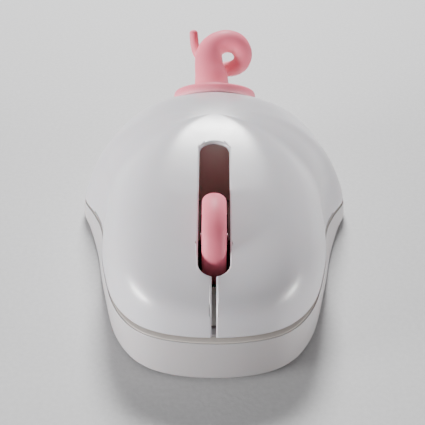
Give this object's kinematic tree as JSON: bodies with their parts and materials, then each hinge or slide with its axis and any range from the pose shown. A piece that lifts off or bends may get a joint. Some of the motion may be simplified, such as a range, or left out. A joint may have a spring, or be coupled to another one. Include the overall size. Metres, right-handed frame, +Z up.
{
  "type": "computer mouse",
  "caption": "Small domed wireless computer mouse with two flexing keys, a scroll wheel in a long slot and a curled rubber tail.",
  "frame": {"origin": "on the desk under the middle of the body's length and width", "axes": "+Y from the keys towards the tail, +Z up, +X towards the user's left hand side, where the left key is"},
  "size_m": [0.0698, 0.0987, 0.0412],
  "materials": {
    "pearl_shell": "smooth glossy white plastic with a faint pearl tint",
    "white_base": "smooth white plastic, slightly less glossy",
    "inner_white": "plain moulded white plastic",
    "pink_rubber": "soft satin pink rubber",
    "pink_plastic": "satin pink plastic",
    "circuit_board": "green solder mask",
    "black_plastic": "moulded black plastic",
    "red_plastic": "moulded red plastic",
    "steel": "bright plated steel",
    "clear_lens": "clear moulded optic",
    "slip_plastic": "low-friction white plastic",
    "cell_wrap": "plain printed-metal cell jacket without text"
  },
  "bodies": {
    "case": {"top_cover": "pearl_shell", "base_shell": "white_base", "wheel_well": "inner_white", "tail_retainer": "inner_white", "tail": "pink_rubber", "encoder_body": "black_plastic", "wheel_spring": "steel", "left_switch_body": "black_plastic", "right_switch_body": "black_plastic", "middle_switch_body": "black_plastic", "key_board": "circuit_board", "main_board": "circuit_board", "board_header": "black_plastic", "controller_chip": "black_plastic", "crystal": "steel", "capacitor": "black_plastic", "sensor_chip": "black_plastic", "sensor_led": "red_plastic", "sensor_lens": "clear_lens", "power_switch_body": "black_plastic", "battery_1": "cell_wrap", "battery_2": "cell_wrap", "contact_plate_1": "steel", "contact_plate_2": "steel", "contact_spring_1": "steel", "contact_spring_2": "steel", "front_foot_left": "slip_plastic", "front_foot_right": "slip_plastic", "rear_foot_left": "slip_plastic", "rear_foot_right": "slip_plastic", "board_screw_1": "steel", "board_screw_2": "steel", "board_screw_3": "steel", "board_screw_4": "steel", "board_screw_5": "steel", "board_screw_6": "steel", "case_screw_1": "steel", "case_screw_2": "steel", "case_screw_3": "steel", "case_screw_4": "steel"},
    "left_button": {"left_button": "pearl_shell"},
    "right_button": {"right_button": "pearl_shell"},
    "left_plunger": {"left_switch_plunger": "red_plastic"},
    "right_plunger": {"right_switch_plunger": "red_plastic"},
    "wheel_carrier": {"wheel_carrier": "inner_white"},
    "scroll_wheel": {"scroll_tyre": "pink_rubber", "scroll_hub": "pink_plastic", "encoder_rotor": "slip_plastic"},
    "middle_plunger": {"middle_switch_plunger": "red_plastic"},
    "power_knob": {"power_knob": "black_plastic"},
    "battery_door": {"battery_door": "white_base"},
    "receiver": {"receiver_head": "black_plastic", "receiver_plug": "steel"}
  },
  "joints": [
    {"name": "left_click", "type": "hinge", "parent": "case", "child": "left_button", "pos_m": [0.014, -0.0105, 0.0075], "axis": [1, 0, 0], "range_deg": [0, 1], "stiffness_Nm_per_rad": 1.3},
    {"name": "right_click", "type": "hinge", "parent": "case", "child": "right_button", "pos_m": [-0.014, -0.0105, 0.0075], "axis": [1, 0, 0], "range_deg": [0, 1], "stiffness_Nm_per_rad": 1.3},
    {"name": "left_plunger_slide", "type": "slide", "parent": "case", "child": "left_plunger", "axis": [0, 0, -1], "range_m": [0, 0.0004]},
    {"name": "right_plunger_slide", "type": "slide", "parent": "case", "child": "right_plunger", "axis": [0, 0, -1], "range_m": [0, 0.0004]},
    {"name": "wheel_press", "type": "slide", "parent": "case", "child": "wheel_carrier", "axis": [0, 0, -1], "range_m": [0, 0.0005], "stiffness_N_per_m": 900, "deforming": ["wheel_spring"]},
    {"name": "wheel_spin", "type": "hinge", "parent": "wheel_carrier", "child": "scroll_wheel", "pos_m": [0, -0.0285, 0.02305], "axis": [1, 0, 0], "continuous": true},
    {"name": "middle_plunger_slide", "type": "slide", "parent": "case", "child": "middle_plunger", "axis": [0, 0, -1], "range_m": [0, 0.0005]},
    {"name": "power_slide", "type": "slide", "parent": "case", "child": "power_knob", "axis": [1, 0, 0], "range_m": [0, 0.0034]},
    {"name": "door_swing", "type": "hinge", "parent": "case", "child": "battery_door", "pos_m": [0, 0.0315, 0.0007], "axis": [1, 0, 0], "range_deg": [0, 80]},
    {"name": "receiver_pull", "type": "slide", "parent": "case", "child": "receiver", "axis": [0, 0, -1], "range_m": [0, 0.008]}
  ],
  "couplings": [
    {"joint": "left_plunger_slide", "follows": "left_click", "m_per_rad": 0.0205},
    {"joint": "right_plunger_slide", "follows": "right_click", "m_per_rad": 0.0205},
    {"joint": "middle_plunger_slide", "follows": "wheel_press", "ratio": 1}
  ]
}
